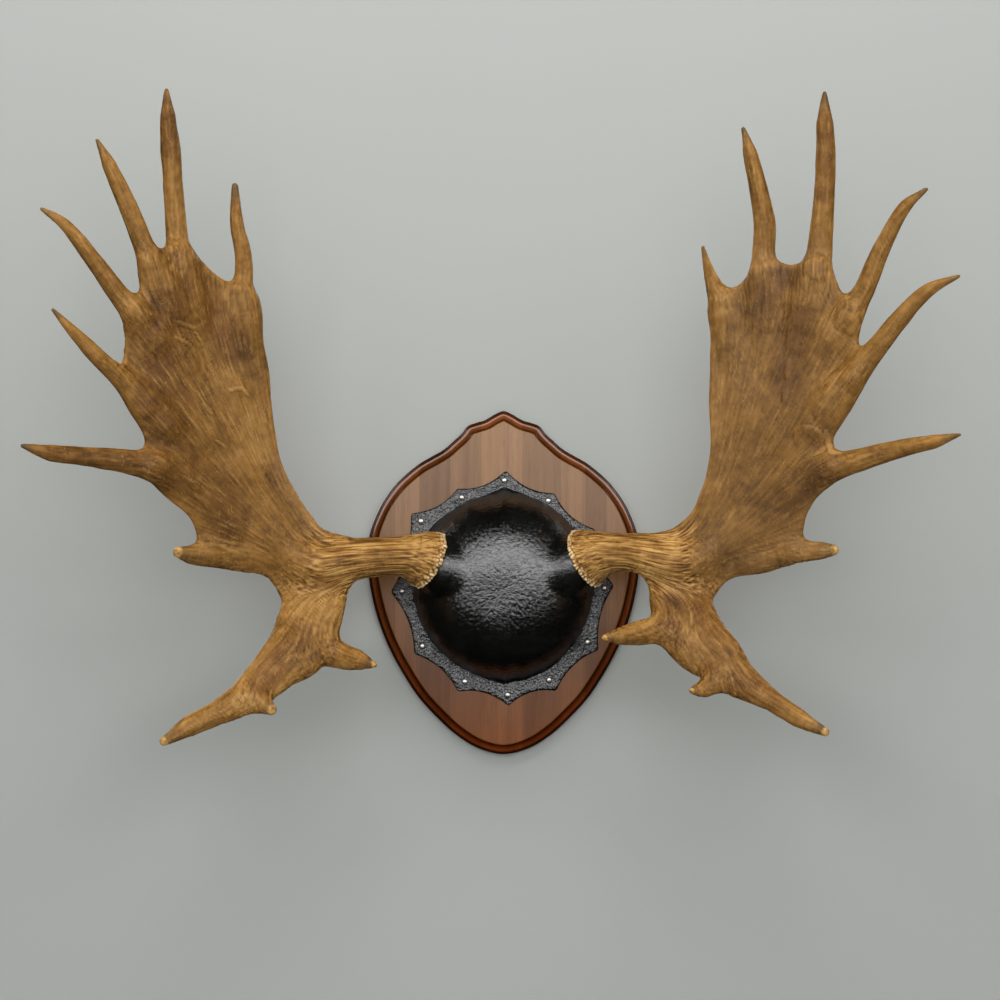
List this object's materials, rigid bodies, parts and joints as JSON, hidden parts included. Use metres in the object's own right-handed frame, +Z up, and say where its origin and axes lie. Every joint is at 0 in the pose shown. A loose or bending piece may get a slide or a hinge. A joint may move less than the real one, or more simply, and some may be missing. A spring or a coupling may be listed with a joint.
{
  "type": "moose antler wall mount",
  "caption": "Pair of palmate moose antlers on a leather-covered skull boss, fixed to a moulded walnut shield that hangs on a wall.",
  "frame": {"origin": "centre of the shield's flat back face, which lies on the wall", "axes": "+Z up the wall, +Y into the wall, +X to the viewer's right; the antlers face -Y"},
  "size_m": [1.0908, 0.3016, 0.8108],
  "materials": {
    "antler": "dry brown antler, grooved and satin",
    "walnut": "lacquered walnut",
    "leather": "black wrinkled leather",
    "bone": "dry bone and filler",
    "nickel": "bright nickel",
    "steel": "zinc-plated steel"
  },
  "bodies": {
    "root": {"plaque": "walnut", "skull_plate": "bone", "leather_cover": "leather", "tack_01": "nickel", "tack_02": "nickel", "tack_03": "nickel", "tack_04": "nickel", "tack_05": "nickel", "tack_06": "nickel", "tack_07": "nickel", "tack_08": "nickel", "tack_09": "nickel", "tack_10": "nickel", "tack_11": "nickel", "tack_12": "nickel", "left_beam": "antler", "left_palm": "antler", "left_brow": "antler", "right_beam": "antler", "right_palm": "antler", "right_brow": "antler", "back_screw_1": "steel", "back_screw_2": "steel", "back_screw_3": "steel", "hanger_plate": "steel", "hanger_screw_1": "steel", "hanger_screw_2": "steel"}
  },
  "joints": []
}
